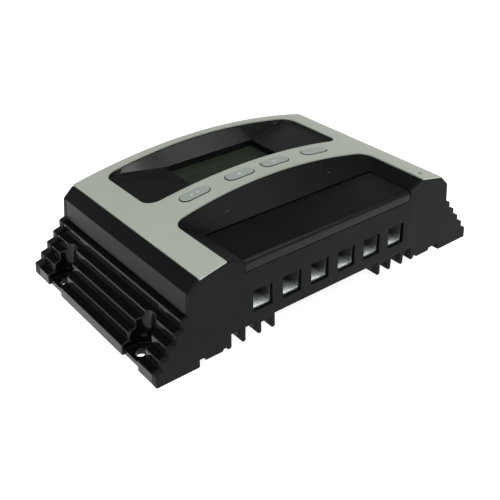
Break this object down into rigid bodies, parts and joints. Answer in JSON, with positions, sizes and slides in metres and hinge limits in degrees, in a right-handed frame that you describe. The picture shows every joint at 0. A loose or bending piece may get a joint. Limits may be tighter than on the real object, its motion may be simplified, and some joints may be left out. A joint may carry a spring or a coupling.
{
  "type": "solar charge controller",
  "caption": "Wall-mounted solar charge controller with a finned base, arched silver face, small display, push-buttons and a row of wire terminals.",
  "frame": {"origin": "middle of the footprint, in the plane of the feet", "axes": "+X along the long side, to the right as read from the terminals; -Y towards the terminal side; +Z out of the face"},
  "size_m": [0.188, 0.107, 0.0494],
  "materials": {
    "base": "black anodised, satin, fine extrusion lines",
    "end_panels": "black, fine matt texture",
    "housing": "black, fine satin texture",
    "face": "satin silver-grey with a slight green cast",
    "cover": "black, fine satin texture",
    "display": "dark grey-green, glossy, unlit",
    "display_frame": "white, matt",
    "boards": "green solder mask, satin",
    "buttons": "satin grey, a little darker than the face plate",
    "lamp": "dark green tinted, unlit",
    "terminal_block": "black, matt",
    "clamps": "bright nickel plate",
    "contacts": "tin plated",
    "screws": "zinc plated",
    "dark_parts": "black moulding compound",
    "capacitors": "dark blue sleeve",
    "fuse": "yellow, translucent blade fuse"
  },
  "bodies": {
    "controller": {"heatsink_base": "base", "front_panel": "end_panels", "rear_panel": "end_panels", "upper_housing": "housing", "face_plate": "face", "display_glass": "display", "display_frame": "display_frame", "main_board": "boards", "display_board": "boards", "status_lamp": "lamp", "terminal_block": "terminal_block", "contact_bar_1": "contacts", "contact_bar_2": "contacts", "contact_bar_3": "contacts", "contact_bar_4": "contacts", "contact_bar_5": "contacts", "contact_bar_6": "contacts", "board_screw_1": "screws", "board_screw_2": "screws", "board_screw_3": "screws", "board_screw_4": "screws", "display_screw_1": "screws", "display_screw_2": "screws", "display_screw_3": "screws", "display_screw_4": "screws", "housing_screw_1": "screws", "housing_screw_2": "screws", "housing_screw_3": "screws", "housing_screw_4": "screws", "switch_1": "dark_parts", "switch_2": "dark_parts", "switch_3": "dark_parts", "switch_4": "dark_parts", "mosfet_1": "dark_parts", "mosfet_2": "dark_parts", "mosfet_3": "dark_parts", "mosfet_4": "dark_parts", "fuse_holder": "dark_parts", "microcontroller": "dark_parts", "board_connector": "dark_parts", "capacitor_1": "capacitors", "capacitor_2": "capacitors", "fuse": "fuse"},
    "button_1": {"button_1": "buttons"},
    "button_2": {"button_2": "buttons"},
    "button_3": {"button_3": "buttons"},
    "button_4": {"button_4": "buttons"},
    "terminal_screw_1": {"terminal_screw_1": "screws"},
    "terminal_screw_2": {"terminal_screw_2": "screws"},
    "terminal_screw_3": {"terminal_screw_3": "screws"},
    "terminal_screw_4": {"terminal_screw_4": "screws"},
    "terminal_screw_5": {"terminal_screw_5": "screws"},
    "terminal_screw_6": {"terminal_screw_6": "screws"},
    "clamp_cage_1": {"clamp_cage_1": "clamps"},
    "clamp_cage_2": {"clamp_cage_2": "clamps"},
    "clamp_cage_3": {"clamp_cage_3": "clamps"},
    "clamp_cage_4": {"clamp_cage_4": "clamps"},
    "clamp_cage_5": {"clamp_cage_5": "clamps"},
    "clamp_cage_6": {"clamp_cage_6": "clamps"},
    "terminal_cover": {"terminal_cover": "cover"}
  },
  "joints": [
    {"name": "button_1_press", "type": "slide", "parent": "controller", "child": "button_1", "axis": [0, 0, -1], "range_m": [0, 0.0006], "stiffness_N_per_m": 600, "springref_m": -0.0005},
    {"name": "button_2_press", "type": "slide", "parent": "controller", "child": "button_2", "axis": [0, 0, -1], "range_m": [0, 0.0006], "stiffness_N_per_m": 600, "springref_m": -0.0005},
    {"name": "button_3_press", "type": "slide", "parent": "controller", "child": "button_3", "axis": [0, 0, -1], "range_m": [0, 0.0006], "stiffness_N_per_m": 600, "springref_m": -0.0005},
    {"name": "button_4_press", "type": "slide", "parent": "controller", "child": "button_4", "axis": [0, 0, -1], "range_m": [0, 0.0006], "stiffness_N_per_m": 600, "springref_m": -0.0005},
    {"name": "terminal_1_turn", "type": "hinge", "parent": "controller", "child": "terminal_screw_1", "pos_m": [-0.0402, -0.0446, 0.0372], "axis": [0, 0, -1], "range_deg": [0, 2572]},
    {"name": "clamp_1_rise", "type": "slide", "parent": "controller", "child": "clamp_cage_1", "axis": [0, 0, 1], "range_m": [0, 0.005]},
    {"name": "terminal_2_turn", "type": "hinge", "parent": "controller", "child": "terminal_screw_2", "pos_m": [-0.02412, -0.0446, 0.0372], "axis": [0, 0, -1], "range_deg": [0, 2572]},
    {"name": "clamp_2_rise", "type": "slide", "parent": "controller", "child": "clamp_cage_2", "axis": [0, 0, 1], "range_m": [0, 0.005]},
    {"name": "terminal_3_turn", "type": "hinge", "parent": "controller", "child": "terminal_screw_3", "pos_m": [-0.00804, -0.0446, 0.0372], "axis": [0, 0, -1], "range_deg": [0, 2572]},
    {"name": "clamp_3_rise", "type": "slide", "parent": "controller", "child": "clamp_cage_3", "axis": [0, 0, 1], "range_m": [0, 0.005]},
    {"name": "terminal_4_turn", "type": "hinge", "parent": "controller", "child": "terminal_screw_4", "pos_m": [0.00804, -0.0446, 0.0372], "axis": [0, 0, -1], "range_deg": [0, 2572]},
    {"name": "clamp_4_rise", "type": "slide", "parent": "controller", "child": "clamp_cage_4", "axis": [0, 0, 1], "range_m": [0, 0.005]},
    {"name": "terminal_5_turn", "type": "hinge", "parent": "controller", "child": "terminal_screw_5", "pos_m": [0.02412, -0.0446, 0.0372], "axis": [0, 0, -1], "range_deg": [0, 2572]},
    {"name": "clamp_5_rise", "type": "slide", "parent": "controller", "child": "clamp_cage_5", "axis": [0, 0, 1], "range_m": [0, 0.005]},
    {"name": "terminal_6_turn", "type": "hinge", "parent": "controller", "child": "terminal_screw_6", "pos_m": [0.0402, -0.0446, 0.0372], "axis": [0, 0, -1], "range_deg": [0, 2572]},
    {"name": "clamp_6_rise", "type": "slide", "parent": "controller", "child": "clamp_cage_6", "axis": [0, 0, 1], "range_m": [0, 0.005]},
    {"name": "cover_lift", "type": "slide", "parent": "controller", "child": "terminal_cover", "axis": [0, 0, 1], "range_m": [0, 0.03]}
  ],
  "couplings": [
    {"joint": "terminal_1_turn", "follows": "clamp_1_rise", "rad_per_m": 8976},
    {"joint": "terminal_2_turn", "follows": "clamp_2_rise", "rad_per_m": 8976},
    {"joint": "terminal_3_turn", "follows": "clamp_3_rise", "rad_per_m": 8976},
    {"joint": "terminal_4_turn", "follows": "clamp_4_rise", "rad_per_m": 8976},
    {"joint": "terminal_5_turn", "follows": "clamp_5_rise", "rad_per_m": 8976},
    {"joint": "terminal_6_turn", "follows": "clamp_6_rise", "rad_per_m": 8976}
  ]
}
